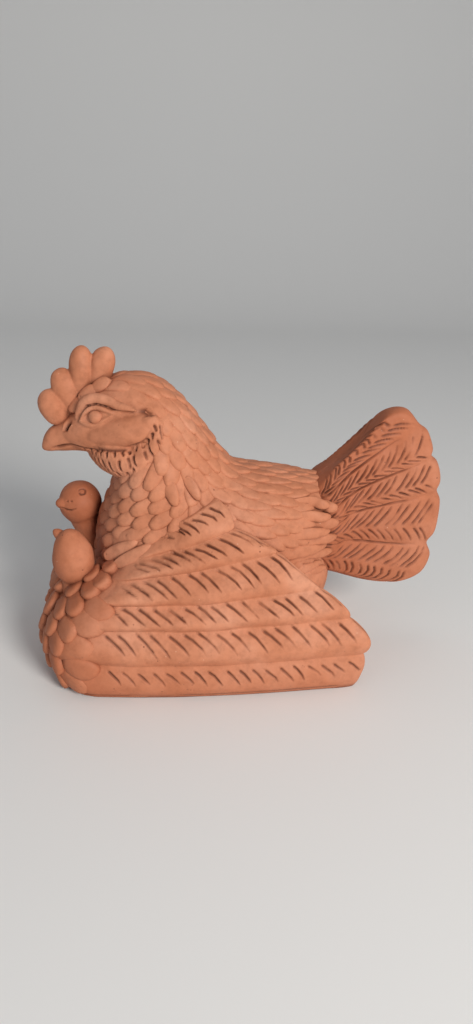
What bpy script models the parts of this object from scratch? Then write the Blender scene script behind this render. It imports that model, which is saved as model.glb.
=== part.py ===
"""Brooding hen figurine in plain terracotta, one fired piece with two chick heads.

Metres, +Z up. The hen looks along -X, its length is X, and it stands on z = 0.
The profile tables are drawn in millimetres for a hen of the drawn size below.
The driving dimensions stretch them: length, width and height each along one axis.
"""
import math

import bpy
import bmesh
import numpy as np
from mathutils import Vector

LENGTH = 0.2079          # front of the wings to the rim of the tail
WIDTH = 0.1156           # across the wings at the base
HEIGHT = 0.1578          # base to the top of the comb
DRAWN = (207.9, 115.6, 157.8)

FEATHER_LIFT = 1.5       # mm that a feather tip stands over the next row
FEATHERS_AROUND = 16     # feathers in one row round the neck and body
STROKE_WIDTH = 1.0       # mm across an incised stroke at the surface
STROKE_DEPTH = 1.3       # mm
BARBS = 2                # strokes on either side of a tail lobe
TAIL_FLARE = 4.0         # mm that the root of the tail spreads on each side
SLAB = 1.6               # mm, thickness of the slab that closes the underside
SEAM = 0.9               # mm, height of the dark seam over the slab
SEAM_DEPTH = 1.4         # mm

# Neck and body stations: top point x, z, bottom point x, z, half width.
STATIONS = (
    (-58.0, 137.0, -57.0, 112.0, 12.0),
    (-48.0, 142.0, -50.0, 108.0, 16.0),
    (-38.0, 144.5, -44.0, 103.0, 18.5),
    (-26.0, 142.0, -43.5, 97.0, 22.0),
    (-14.7, 133.5, -46.5, 88.0, 25.0),
    (-5.0, 121.3, -51.0, 77.0, 27.5),
    (4.6, 108.4, -54.5, 64.0, 30.0),
    (11.5, 101.0, -54.5, 49.0, 33.5),
    (20.5, 98.6, -45.0, 33.0, 36.5),
    (31.0, 97.0, -20.0, 24.0, 38.0),
    (46.0, 94.8, 15.0, 24.0, 33.5),
    (59.0, 92.5, 42.0, 30.0, 21.5),
    (70.0, 91.5, 58.0, 38.0, 10.0),
)

# Feather rows: station of the row at the back, at the side and at the breast.
ROWS = (
    (1.75, 2.90, 3.60), (2.40, 3.70, 4.60), (3.00, 4.45, 5.50), (3.55, 5.15, 6.25),
    (4.05, 5.80, 6.90), (4.52, 6.45, 7.50), (5.00, 7.05, 8.05), (5.50, 7.60, 8.50),
    (6.10, 8.10, 8.90), (6.90, 8.60, 9.30), (7.80, 9.10, 9.70), (8.70, 9.60, 10.10),
    (9.50, 10.15, 10.50), (10.30, 10.75, 10.90), (11.20, 11.40, 11.45),
)

# Wing levels from the base up: z at front, middle and rear, front x, tip x, half width.
LEVELS = (
    (0.0, 0.0, 0.0, -80.0, 70.0, 55.0),
    (19.0, 18.0, 19.5, -86.0, 73.0, 55.5),
    (36.0, 35.5, 38.5, -81.0, 65.0, 53.0),
    (47.0, 47.5, 53.0, -71.0, 50.0, 49.5),
    (55.0, 62.0, 70.0, -60.0, 29.0, 45.0),
    (60.0, 72.5, 80.5, -52.0, 9.0, 40.5),
    (64.0, 83.5, 92.5, -44.0, 1.0, 34.0),
)
# Farthest x of each lobe, from the base up.
TIPS = (76.0, 79.5, 68.5, 53.5, 33.0, 13.0)
LOBE_BULGE = (2.8, 3.0, 3.2, 3.2, 3.0, 2.4)
LOBE_FOOT = 0.09
LOBE_CREST = 0.36

# Tail outline: root line from top to bottom, rim from top to bottom.
TAIL_ROOT = ((54.0, 93.0), (58.0, 89.0), (60.0, 82.0), (61.0, 73.0), (60.0, 61.0), (58.0, 42.0))
TAIL_RIM = (
    (72.0, 108.0), (81.0, 120.0), (89.0, 127.8), (97.5, 128.8), (105.0, 121.2),
    (109.5, 118.0), (112.2, 113.0), (113.8, 108.5), (113.8, 104.5),
    (117.0, 101.5), (119.4, 96.0), (120.4, 90.5), (119.4, 85.5),
    (121.8, 80.0), (122.6, 71.0), (121.8, 62.0), (118.3, 55.5),
    (121.0, 47.5), (117.0, 37.5), (104.0, 32.0), (80.0, 34.0),
)
TAIL_LOBES = 5

# Incised strokes of each wing lobe from the base up: first x, last x, count,
# start and end over the lobe's height, slant in mm.
WING_STROKES = (
    (-42.0, 60.0, 7, 0.60, 0.12, 6.0),
    (-44.0, 60.0, 8, 0.82, 0.04, 9.0),
    (-43.0, 50.0, 8, 0.82, 0.06, 8.5),
    (-39.0, 35.0, 6, 0.84, 0.08, 9.0),
    (-33.0, 12.0, 4, 0.86, 0.06, 9.0),
    (-20.0, -5.0, 3, 0.86, 0.16, 8.0),
)

# Scales on the front of each wing: level, place from the middle of the front at 0
# round to the side at 6, half length and half width in mm.
FRONT_SCALES = (
    (0.37, 4.7, 6.2, 5.2), (0.91, 5.3, 6.6, 5.4), (1.56, 5.0, 6.6, 5.4), (2.30, 4.9, 6.4, 5.2),
    (2.89, 4.8, 6.0, 4.8), (0.28, 3.4, 5.4, 4.8), (0.81, 3.6, 5.4, 5.0), (1.40, 3.7, 5.4, 5.0),
    (1.92, 4.1, 5.4, 4.8), (2.72, 3.4, 5.2, 4.6), (3.42, 3.3, 5.0, 4.4), (3.94, 3.3, 4.6, 4.0),
    (3.86, 2.3, 4.6, 4.0), (0.60, 2.3, 5.2, 4.8), (1.12, 2.5, 5.2, 4.8), (1.72, 2.7, 5.2, 4.8),
    (2.31, 2.7, 5.0, 4.6), (3.05, 2.2, 5.0, 4.4),
)
SCALE_LIFT = 2.2         # mm that a scale stands over the front of a wing

SX = LENGTH * 1000.0 / DRAWN[0] * 0.001
SY = WIDTH * 1000.0 / DRAWN[1] * 0.001
SZ = HEIGHT * 1000.0 / DRAWN[2] * 0.001


def clear():
    for item in list(bpy.data.objects):
        bpy.data.objects.remove(item, do_unlink=True)


def group(name):
    found = bpy.data.collections.new(name)
    bpy.context.scene.collection.children.link(found)
    return found


def spline(table, t):
    """Catmull-Rom value of a table of rows at t from 0 to the last row."""
    rows = np.asarray(table, float)
    last = len(rows) - 1
    t = min(max(t, 0.0), float(last))
    i = min(int(t), last - 1)
    f = t - i
    p1 = rows[i]
    p2 = rows[i + 1]
    p0 = rows[i - 1] if i else 2.0 * p1 - p2
    p3 = rows[i + 2] if i + 2 <= last else 2.0 * p2 - p1
    return 0.5 * (2.0 * p1 + (p2 - p0) * f + (2.0 * p0 - 5.0 * p1 + 4.0 * p2 - p3) * f ** 2
                  + (3.0 * p1 - p0 - 3.0 * p2 + p3) * f ** 3)


def solid(name, points, faces, where):
    """Closed mesh from drawn points, stretched to the driving dimensions."""
    mesh = bpy.data.meshes.new(name)
    mesh.from_pydata([(x * SX, y * SY, z * SZ) for x, y, z in points], [], faces)
    work = bmesh.new()
    work.from_mesh(mesh)
    bmesh.ops.remove_doubles(work, verts=work.verts, dist=1e-6)
    bmesh.ops.recalc_face_normals(work, faces=work.faces)
    if work.calc_volume(signed=True) < 0.0:
        bmesh.ops.reverse_faces(work, faces=work.faces)
    work.to_mesh(mesh)
    work.free()
    item = bpy.data.objects.new(name, mesh)
    where.objects.link(item)
    return item


def loft(name, rings, where):
    """Skin rings of equal length into a solid with a fan cap at both ends."""
    count = len(rings[0])
    points = [p for ring in rings for p in ring]
    faces = []
    for i in range(len(rings) - 1):
        for j in range(count):
            k = (j + 1) % count
            faces.append((i * count + j, i * count + k, (i + 1) * count + k, (i + 1) * count + j))
    for i in (0, len(rings) - 1):
        middle = len(points)
        points.append(tuple(np.mean(np.asarray(rings[i]), axis=0)))
        for j in range(count):
            faces.append((i * count + j, i * count + (j + 1) % count, middle))
    return solid(name, points, faces, where)


def axes_of(direction, up=(0.0, 0.0, 1.0)):
    """Right-handed axes whose first one follows the direction."""
    a = Vector(direction).normalized()
    side = Vector(up).cross(a)
    side = side.normalized() if side.length > 1e-5 else Vector((0.0, 1.0, 0.0))
    return a, side, a.cross(side)


def egg(name, centre, along, length, width, height, where, sides=12, rows=7, point=0.0, up=(0, 0, 1)):
    """Ellipsoid along a direction; point above 0 narrows its far end."""
    a, b, c = axes_of(along, up)
    rings = []
    for i in range(1, rows):
        angle = math.pi * i / rows
        s = -math.cos(angle)
        r = math.sin(angle) * (1.0 - point * (s + 1.0) * 0.5)
        ring = []
        for j in range(sides):
            t = 2.0 * math.pi * j / sides
            p = Vector(centre) + a * (s * length) + b * (r * width * math.cos(t)) + c * (r * height * math.sin(t))
            ring.append(tuple(p))
        rings.append(ring)
    count = len(rings)
    points = [p for ring in rings for p in ring]
    faces = []
    for i in range(count - 1):
        for j in range(sides):
            k = (j + 1) % sides
            faces.append((i * sides + j, i * sides + k, (i + 1) * sides + k, (i + 1) * sides + j))
    for i, s in ((0, -1.0), (count - 1, 1.0)):
        points.append(tuple(Vector(centre) + a * (s * length)))
        for j in range(sides):
            faces.append((i * sides + j, i * sides + (j + 1) % sides, len(points) - 1))
    return solid(name, points, faces, where)


def tube(name, path, radii, where, sides=8, flat=1.0):
    """Rounded ridge along a path of points."""
    rings = []
    for i, centre in enumerate(path):
        before = Vector(path[max(i - 1, 0)])
        after = Vector(path[min(i + 1, len(path) - 1)])
        _, b, c = axes_of(after - before, (0.0, 1.0, 0.02))
        ring = []
        for j in range(sides):
            t = 2.0 * math.pi * j / sides
            p = Vector(centre) + b * (radii[i] * math.cos(t)) + c * (radii[i] * flat * math.sin(t))
            ring.append(tuple(p))
        rings.append(ring)
    return loft(name, rings, where)


def body_point(s, turn, lift=0.0):
    """Point of the neck and body skin: station s, turn from the top in radians."""
    x1, z1, x0, z0, w = spline(STATIONS, s)
    cx, cz = (x0 + x1) / 2.0, (z0 + z1) / 2.0
    hx, hz = (x1 - x0) / 2.0, (z1 - z0) / 2.0
    long = math.hypot(hx, hz)
    c, q = math.cos(turn), math.sin(turn)
    p = Vector((cx + hx * c, w * q, cz + hz * c))
    n = Vector((hx / long * c * w, q * long, hz / long * c * w)).normalized()
    return p + n * lift


def row_station(row, turn):
    """Station of a feather row at a turn from the top; rows fan out over the breast."""
    top, side, low = spline(ROWS, row)
    c = math.cos(turn)
    return side + c * (top - low) / 2.0 + c * c * ((top + low) / 2.0 - side)


def feathered_body(where):
    """Loft whose rows step down behind rounded, staggered feather tips."""
    around = 3 * FEATHERS_AROUND
    rings = []
    for row in range(len(ROWS)):
        tip = []
        foot = []
        for j in range(around):
            turn = 2.0 * math.pi * (j + 0.5 * (row % 2)) / around
            edge = (j + row % 2) % 3 == 0
            reach = -0.34 if edge else 0.22
            lift = 0.3 * FEATHER_LIFT if edge else FEATHER_LIFT
            tip.append(tuple(body_point(row_station(row + reach, turn), turn, lift)))
            foot.append(tuple(body_point(row_station(row + reach + 0.09, turn), turn, -0.3)))
        if row == 0:
            rings.append([tuple(body_point(row_station(0, 0.0) - 0.9, 2.0 * math.pi * j / around, -3.0))
                          for j in range(around)])
        rings.append(tip)
        rings.append(foot)
    rings.append([tuple(body_point(12.0, 2.0 * math.pi * j / around, -1.0)) for j in range(around)])
    return loft("body", rings, where)


def level_at(v):
    """Row of the wing levels at v from 0 at the base to 6 at the top edge."""
    i = min(int(v), len(LEVELS) - 2)
    f = v - i
    low, high = np.asarray(LEVELS[i]), np.asarray(LEVELS[i + 1])
    row = low + (high - low) * f
    bulge = LOBE_BULGE[i] * math.sin(math.pi * (1.0 - f) ** 1.35)
    tip = row[4] + (TIPS[i] - max(low[4], high[4])) * math.sin(math.pi * f) ** 0.8
    return row, bulge, tip


def wing_height(row, x):
    """Height of a wing level over x."""
    if x < -15.0:
        f = min(max((x + 50.0) / 35.0, 0.0), 1.0)
        return row[0] + (row[1] - row[0]) * f
    f = min((x + 15.0) / max(row[4] + 15.0, 1.0), 1.0)
    return row[1] + (row[2] - row[1]) * f


def wing_ring(v, side, inset=0.0):
    """Closed contour of one wing half at level v, from its front round the tip."""
    row, bulge, tip = level_at(v)
    front, half = row[3], row[5]
    shoulder = min(front + 30.0, -18.0)
    plan = []
    for i in range(7):
        t = math.pi / 2.0 * i / 6.0
        out = bulge - (inset if i > 2 else 0.0)
        x = shoulder - (shoulder - front + bulge * 0.5) * math.cos(t) ** 0.75
        y = (half - 2.0 + out) * math.sin(t) ** 0.8
        plan.append((x, y))
    plan[0] = (plan[0][0] + 4.0, -1.0)
    out = bulge - inset
    for i in range(1, 6):
        f = i / 6.0
        x = shoulder + (tip - 5.0 - shoulder) * f
        y = half - 2.0 + 2.0 * math.sin(math.pi * min(f * 1.15, 1.0)) + out * (1.0 - 0.25 * f ** 3)
        plan.append((x, y))
    edge = half - 2.0 + bulge * 0.75
    plan.append((tip - 1.6, edge - 1.6))
    plan.append((tip, edge - 5.0))
    plan.append((tip - 3.5, edge - 9.0))
    inner = min(tip - 12.0, 58.0)
    plan.append((inner, edge * 0.55))
    plan.append((inner - 2.0, -1.0))
    return [(x, side * y, wing_height(row, x)) for x, y in plan]


def wing_half(side, where):
    """One wing with its six lobes, and its half of the seam over the base slab."""
    rings = [wing_ring(0.0, side)]
    for z, inset in ((SLAB, 0.0), (SLAB, SEAM_DEPTH), (SLAB + SEAM, SEAM_DEPTH), (SLAB + SEAM, 0.0)):
        rings.append(wing_ring(z / LEVELS[1][1], side, inset))
    for lobe in range(len(LEVELS) - 1):
        for step in (LOBE_FOOT, LOBE_CREST, 1.0):
            if lobe == 0 and step < 0.2:
                continue
            rings.append(wing_ring(lobe + step, side))
    return loft("wing", rings, where)


def wing_side(v, x, side, lift=0.0):
    """Point on the outer side of a wing at level v and over x."""
    row, bulge, tip = level_at(v)
    half = row[5]
    shoulder = min(row[3] + 30.0, -18.0)
    f = min(max((x - shoulder) / (tip - 5.0 - shoulder), 0.0), 1.0)
    y = half - 2.0 + 2.0 * math.sin(math.pi * min(f * 1.15, 1.0)) + bulge * (1.0 - 0.25 * f ** 3)
    return Vector((x, side * (y + lift), wing_height(row, x)))


def wing_slope(lobe, f, x, side):
    """Point on the sloping face of a lobe, f from its crest up to the next valley."""
    low = wing_side(lobe + LOBE_CREST, x, side)
    high = wing_side(lobe + 0.999, x, side)
    return low + (high - low) * f


def stroke(points, faces, start, middle, end, out, width, depth):
    """Add a boat-shaped cutter that follows three points of a surface."""
    along = (end - start).normalized()
    across = out.cross(along).normalized()
    first = len(points)
    for p in (start + out * 0.05, end + out * 0.05, middle + across * width * 0.75 + out * 0.5,
              middle - across * width * 0.75 + out * 0.5, middle - out * depth, middle + out * 1.4):
        points.append(tuple(p))
    for a, b, c in ((0, 2, 4), (0, 4, 3), (0, 3, 5), (0, 5, 2), (1, 4, 2), (1, 3, 4), (1, 5, 3), (1, 2, 5)):
        faces.append((first + a, first + b, first + c))


def wing_cutter(side, where):
    """All the strokes of one wing as one cutter."""
    points = []
    faces = []
    for lobe, (x0, x1, count, high, low, slant) in enumerate(WING_STROKES):
        for i in range(count):
            x = x0 + (x1 - x0) * i / (count - 1)
            start = wing_slope(lobe, high, x, side)
            middle = wing_slope(lobe, (high + low) / 2.0, x + slant * 0.5, side)
            end = wing_slope(lobe, low, x + slant, side)
            ahead = wing_slope(lobe, (high + low) / 2.0, x + slant * 0.5 + 3.0, side) - middle
            out = (ahead.cross(start - end) * side).normalized()
            stroke(points, faces, start, middle, end, out, STROKE_WIDTH, STROKE_DEPTH)
    return solid("wing_strokes", points, faces, where)


def tail_cutter(side, where):
    """Lines between the lobes of the tail and the barbs on both sides of each lobe."""
    points = []
    faces = []
    out = Vector((0.0, side, 0.0))
    for k in range(1, TAIL_LOBES):
        w = k / TAIL_LOBES
        spots = [Vector(tail_point(u, w, side)) for u in (0.06, 0.45, 0.84)]
        stroke(points, faces, spots[0], spots[1], spots[2], out, STROKE_WIDTH, STROKE_DEPTH)
    for k in range(TAIL_LOBES):
        w = (k + 0.5) / TAIL_LOBES
        for away in (-1.0, 1.0):
            for i in range(BARBS):
                u = 0.24 + 0.42 * i / max(BARBS - 1, 1)
                spots = [Vector(tail_point(u + 0.15 * f, w + away * (0.022 + 0.055 * f), side))
                         for f in (0.0, 0.5, 1.0)]
                stroke(points, faces, spots[0], spots[1], spots[2], out, STROKE_WIDTH, STROKE_DEPTH)
    return solid("tail_strokes", points, faces, where)


def tail_edge(table, w):
    return spline(table, w * (len(table) - 1))


def tail_point(u, w, side):
    """Tail surface: u from root to rim, w from top to bottom."""
    root = tail_edge(TAIL_ROOT, w)
    rim = tail_edge(TAIL_RIM, w)
    x, z = root + (rim - root) * u
    lobe = abs(math.sin(math.pi * w * TAIL_LOBES)) ** 0.7
    thick = 8.0 - 2.6 * u + 1.6 * lobe * math.sin(math.pi * min(u * 0.9, 1.0))
    thick += TAIL_FLARE * max(1.0 - u / 0.34, 0.0)
    if u > 0.93:
        thick *= 0.8
    ends = min(w, 1.0 - w) * 16.0
    if ends < 1.0:
        thick *= 0.35 + 0.65 * math.sqrt(max(ends, 0.0))
    return x, side * thick, z


def tail(where):
    """Upright fan of five lobes with a thick scalloped rim."""
    columns = 4 * TAIL_LOBES
    us = (0.0, 0.34, 0.88, 1.0)
    rings = []
    for i in range(columns + 1):
        w = i / columns
        near = [tail_point(u, w, -1.0) for u in us]
        far = [tail_point(u, w, 1.0) for u in reversed(us)]
        x, y, z = tail_point(1.0, w, 1.0)
        near[-1] = (near[-1][0], -y * 0.55, near[-1][2])
        far[0] = (far[0][0], y * 0.55, far[0][2])
        rings.append(near + far)
    return loft("tail", rings, where)


def head(where):
    """Smooth face and beak, drawn as sections from the beak tip backwards."""
    sections = (
        (-80.9, 107.6, 110.5, 1.0), (-79.6, 107.0, 114.2, 3.0), (-76.5, 106.6, 118.2, 4.8),
        (-71.5, 106.3, 121.0, 6.8), (-66.0, 105.8, 126.0, 9.6), (-59.0, 104.8, 134.0, 14.0),
        (-51.0, 102.5, 140.0, 17.6), (-42.0, 101.0, 143.4, 20.4), (-33.0, 100.5, 143.4, 22.4),
        (-23.0, 104.0, 138.0, 21.5), (-14.0, 110.0, 129.0, 15.0),
    )
    rings = []
    for x, low, high, half in sections:
        ring = []
        for j in range(16):
            t = 2.0 * math.pi * (j + 0.5) / 16
            c, q = math.cos(t), math.sin(t)
            y = half * math.copysign(abs(q) ** 0.9, q)
            ring.append((x, y, (low + high) / 2.0 + (high - low) / 2.0 * math.copysign(abs(c) ** 0.9, c)))
        rings.append(ring)
    return loft("head", rings, where)


def comb(where):
    """Four fused eggs fanning out over the brow, and the ridge they grow from."""
    made = [
        egg("comb_a", (-73.6, 0, 129.6), (0.38, 0, -1), 9.6, 6.8, 7.6, where, 9, 6, 0.15),
        egg("comb_b", (-67.3, 0, 136.0), (0.28, 0, -1), 12.6, 6.2, 7.2, where, 9, 6, 0.35),
        egg("comb_c", (-60.8, 0, 144.0), (-0.06, 0, -1), 13.8, 6.2, 6.7, where, 9, 6, 0.35),
        egg("comb_d", (-52.6, 0, 146.4), (-0.30, 0, -1), 11.6, 6.2, 6.7, where, 9, 6, 0.35),
        egg("comb_root", (-61.0, 0, 133.5), (0.78, 0, 0.62), 14.0, 4.0, 8.0, where, 10, 6),
    ]
    return made


def face_side(side, where):
    """Brow folds, eye with its lids, cheek with its tongue, and throat bag of one side."""
    def at(x, y, z):
        return (x, side * y, z)

    made = [
        egg("cheek", at(-43.5, 16.4, 122.3), (1.0, side * 0.20, 0.28), 20.5, 8.0, 7.8, where, 12, 7),
        egg("cheek_tongue", at(-31.0, 22.0, 124.5), (0.75, side * 0.05, 0.8), 9.0, 3.6, 4.8, where, 8, 6),
        egg("eye", at(-53.6, 15.5, 128.9), (1.0, side * 0.3, 0.2), 3.7, 3.2, 3.7, where, 8, 5),
        tube("lid_low", [at(-62.4, 11.6, 125.4), at(-59.0, 14.4, 123.9), at(-54.8, 16.5, 123.7),
                         at(-50.4, 18.2, 126.0), at(-44.4, 19.7, 130.4)],
             (0.5, 1.2, 1.4, 1.3, 0.5), where, 6),
        tube("lid_up", [at(-62.6, 11.8, 126.2), at(-59.4, 14.0, 130.2), at(-54.0, 15.9, 133.2),
                        at(-48.5, 17.6, 132.8), at(-42.5, 19.8, 130.8)],
             (0.5, 1.4, 1.6, 1.4, 0.6), where, 6),
        tube("brow", [at(-64.0, 9.8, 124.8), at(-60.2, 12.0, 131.4), at(-55.8, 13.8, 135.8),
                      at(-50.0, 15.6, 138.0), at(-43.6, 18.0, 137.4), at(-38.0, 20.2, 135.0),
                      at(-31.0, 22.2, 132.4)],
             (1.0, 2.2, 2.5, 2.5, 2.3, 2.0, 0.8), where, 8),
        tube("brow_fold", [at(-52.0, 16.4, 133.6), at(-45.0, 19.0, 131.6), at(-38.0, 21.4, 129.4),
                           at(-31.0, 22.6, 129.6)],
             (0.8, 1.7, 1.6, 0.7), where, 7),
    ]
    return made


def throat(where):
    """Rounded bag under the beak and cheeks."""
    return egg("throat", (-39.5, 0, 107.0), (1.0, 0, 0.06), 21.5, 25.2, 13.6, where, 16, 8)


def comb_scales(side, where):
    """Small scales that line the foot of the comb."""
    made = []
    for i in range(3):
        f = i / 2.0
        spot = (-59.0 + 16.0 * f, side * (5.0 + 4.0 * f), 133.0 + 9.5 * f ** 0.8)
        made.append(egg("comb_scale", spot, (0.9, 0, 0.45), 3.8, 2.8, 2.4, where, 7, 3))
    return made


def front_point(v, t, side, lift=0.0):
    """Point on the rounded front of a wing: level v, t from its front to its side."""
    row, bulge, _ = level_at(v)
    front, half = row[3], row[5]
    shoulder = min(front + 30.0, -18.0)
    out = bulge + lift
    x = shoulder - (shoulder - front + out * 0.5 + lift * 0.5) * math.cos(t) ** 0.75
    y = (half - 2.0 + out) * math.sin(t) ** 0.8
    return Vector((x, side * y, wing_height(row, x)))


def front_scales(side, where):
    """Rounded scales laid over each other on the front of a wing, tips to the side."""
    made = []
    for level, place, length, width in FRONT_SCALES:
        t = math.pi / 12.0 * place
        here = front_point(level, t, side)
        ahead = (front_point(level, t + 0.1, side) - here).normalized()
        above = (front_point(level + 0.2, t, side) - here).normalized()
        out = ahead.cross(above) * side
        made.append(egg("front_scale", tuple(here), tuple(ahead - 0.3 * above), length, width,
                        SCALE_LIFT, where, 7, 3, up=tuple(out)))
    return made


def rump_foot(where):
    """Rounded rear of the body between the wing tips, under the tail."""
    return egg("rump_foot", (24.0, 0, 40.0), (1.0, 0, 0.05), 41.0, 30.0, 36.0, where, 12, 6)


def chicks(where):
    """Far chick turned to the front and near chick looking up and away."""
    made = [
        egg("chick_far", (-64.8, 8.0, 76.0), (-0.3, 0.1, 1), 11.6, 11.2, 11.2, where, 12, 7),
        tube("chick_far_neck", [(-63.0, 8.0, 74.0), (-60.0, 9.0, 60.0), (-56.0, 9.0, 44.0)],
             (7.5, 7.0, 9.0), where, 9),
        egg("chick_far_beak", (-73.2, 4.0, 73.0), (-1.0, -0.5, -0.12), 4.2, 2.6, 2.0, where, 8, 5),
        egg("chick_near", (-66.6, -22.0, 59.5), (-0.12, 0, 1), 15.0, 10.8, 10.8, where, 12, 7, 0.18),
        tube("chick_near_neck", [(-66.8, -22.0, 58.0), (-68.0, -22.0, 44.0), (-68.5, -22.0, 30.0)],
             (8.0, 5.6, 6.5), where, 10),
        egg("chick_near_beak", (-73.0, -18.0, 70.5), (-1.0, 0.5, 0.7), 4.0, 2.2, 2.2, where, 8, 5),
    ]
    return made


def terracotta():
    found = bpy.data.materials.new("terracotta")
    found.use_nodes = True
    shader = found.node_tree.nodes["Principled BSDF"]
    shader.inputs["Base Color"].default_value = (0.50, 0.19, 0.09, 1.0)
    shader.inputs["Roughness"].default_value = 0.85
    return found


def combine(parts, name, operation, where):
    """One closed body from the first part and all the others."""
    base = parts[0]
    others = group(name + "_others")
    for item in parts[1:]:
        for home in list(item.users_collection):
            home.objects.unlink(item)
        others.objects.link(item)
    step = base.modifiers.new("combine", "BOOLEAN")
    step.operation = operation
    step.operand_type = "COLLECTION"
    step.collection = others
    step.solver = "EXACT"
    graph = bpy.context.evaluated_depsgraph_get()
    mesh = bpy.data.meshes.new_from_object(base.evaluated_get(graph))
    mesh.name = name
    result = bpy.data.objects.new(name, mesh)
    where.objects.link(result)
    for item in parts:
        bpy.data.objects.remove(item, do_unlink=True)
    bpy.data.collections.remove(others)
    return result


def fill_specks(item):
    """Fill the sealed specks that stay where two skins graze: only the largest skin is kept."""
    work = bmesh.new()
    work.from_mesh(item.data)
    left = set(work.faces)
    skins = []
    while left:
        skin = []
        queue = [left.pop()]
        while queue:
            face = queue.pop()
            skin.append(face)
            for edge in face.edges:
                for other in edge.link_faces:
                    if other in left:
                        left.remove(other)
                        queue.append(other)
        skins.append(skin)
    skins.sort(key=len)
    for skin in skins[:-1]:
        bmesh.ops.delete(work, geom=skin, context="FACES")
    work.to_mesh(item.data)
    work.free()


def tidy(item, angle):
    """Drop edges that lie flat in a face, to within an angle in degrees."""
    work = bmesh.new()
    work.from_mesh(item.data)
    bmesh.ops.dissolve_limit(work, angle_limit=math.radians(angle), verts=work.verts, edges=work.edges)
    loose = [v for v in work.verts if not v.link_faces]
    bmesh.ops.delete(work, geom=loose, context="VERTS")
    work.to_mesh(item.data)
    work.free()


def main():
    clear()
    hen = group("hen_figurine")
    parts = [feathered_body(hen), head(hen), tail(hen), throat(hen), rump_foot(hen)]
    parts += comb(hen)
    parts += chicks(hen)
    for side in (-1.0, 1.0):
        parts.append(wing_half(side, hen))
        parts += face_side(side, hen)
        parts += comb_scales(side, hen)
        parts += front_scales(side, hen)
    blank = combine(parts, "hen_blank", "UNION", hen)
    tidy(blank, 1.0)
    cutters = []
    for side in (-1.0, 1.0):
        cutters.append(wing_cutter(side, hen))
        cutters.append(tail_cutter(side, hen))
    whole = combine([blank] + cutters, "hen_figurine", "DIFFERENCE", hen)
    fill_specks(whole)
    tidy(whole, 2.0)
    whole.data.materials.clear()
    whole.data.materials.append(terracotta())
    print("triangles", sum(len(p.vertices) - 2 for p in whole.data.polygons))


main()
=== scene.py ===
import math

import bpy
import bmesh
import numpy as np
from mathutils import Matrix, Vector


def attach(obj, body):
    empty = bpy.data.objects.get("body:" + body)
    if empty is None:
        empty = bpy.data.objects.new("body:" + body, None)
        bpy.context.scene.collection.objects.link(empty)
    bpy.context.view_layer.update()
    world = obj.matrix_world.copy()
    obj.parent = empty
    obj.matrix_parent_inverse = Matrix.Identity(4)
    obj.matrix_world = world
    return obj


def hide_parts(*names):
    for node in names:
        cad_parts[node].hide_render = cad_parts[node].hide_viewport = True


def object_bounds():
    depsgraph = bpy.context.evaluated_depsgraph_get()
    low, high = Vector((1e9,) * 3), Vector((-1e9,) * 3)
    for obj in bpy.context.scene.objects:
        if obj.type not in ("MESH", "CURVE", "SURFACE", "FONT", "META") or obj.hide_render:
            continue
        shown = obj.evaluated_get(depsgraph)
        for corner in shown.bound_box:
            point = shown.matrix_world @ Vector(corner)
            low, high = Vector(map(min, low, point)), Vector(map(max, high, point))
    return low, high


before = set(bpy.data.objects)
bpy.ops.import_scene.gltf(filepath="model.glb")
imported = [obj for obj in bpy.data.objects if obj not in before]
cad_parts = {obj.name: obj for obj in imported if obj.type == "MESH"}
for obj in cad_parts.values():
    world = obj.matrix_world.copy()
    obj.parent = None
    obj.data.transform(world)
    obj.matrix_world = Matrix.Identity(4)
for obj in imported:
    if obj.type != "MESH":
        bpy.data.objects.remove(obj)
CAD_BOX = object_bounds()
MM = 0.001
PER_METRE = 1000.0
BOX_LOW = np.array(CAD_BOX[0]) * PER_METRE
BOX_HIGH = np.array(CAD_BOX[1]) * PER_METRE
NODE = "hen_figurine"
SIDES = (-1.0, 1.0)
RNG = np.random.default_rng(7)

# Sections of the neck and body from the head back, in millimetres: top x, z, bottom x, z,
# half width.
STATIONS = (
    (-58, 137, -57, 112, 12), (-48, 142, -50, 108, 16), (-38, 144.5, -44, 103, 18.5),
    (-26, 142, -43.5, 97, 22), (-14.7, 133.5, -46.5, 88, 25), (-5, 121.3, -51, 77, 27.5),
    (4.6, 108.4, -54.5, 64, 30), (11.5, 101, -54.5, 49, 33.5), (20.5, 98.6, -45, 33, 36.5),
    (31, 97, -20, 24, 38), (46, 94.8, 15, 24, 33.5), (59, 92.5, 42, 30, 21.5),
    (70, 91.5, 58, 38, 10),
)
# Which way the feathers lie: station, turn from the top, and degrees from straight
# back along the body toward the belly.
FLOW = (
    (1.9, 0.32, 14), (3.4, 0.30, -12), (4.25, 0.05, -20), (3.2, 0.9, 24), (4.23, 0.86, 14),
    (3.93, 1, 37), (5, 0.16, -8), (5.12, 0.67, 8), (5.83, 0.08, -12), (4.78, 1, 28),
    (5.05, 1.23, 51), (5.58, 1.12, 50), (5.9, 0.94, 13), (5.4, 0.87, 12), (6.2, 0.7, -5),
    (6.9, 0.44, -1), (7.08, 0.05, -5), (7.98, 0.09, 2), (7.38, 0.68, 7), (8.03, 0.86, 8),
    (8.38, 0.75, -9), (4.75, 1.42, 79), (5, 1.61, 90), (4.2, 2.09, 89), (4, 3, 60),
    (4.83, 2.13, 91), (4.88, 3, 60), (5.38, 1.82, 98), (5.58, 1.54, 100), (5.9, 1.47, 102),
    (5.38, 2.64, 76), (5.48, 2.11, 97), (6, 2.65, 71), (5.8, 1.96, 98), (6.12, 1.86, 98),
    (6.2, 2.3, 88), (8.95, 0.31, -9), (10, 0.62, -16), (8.95, 0.79, -18), (10.25, 1.07, -8),
    (10.88, 0.99, -9), (10.48, 1.39, 6), (11.5, 1.8, 20), (9.93, 1.35, 7), (9.03, 0.99, -15),
)
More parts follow.
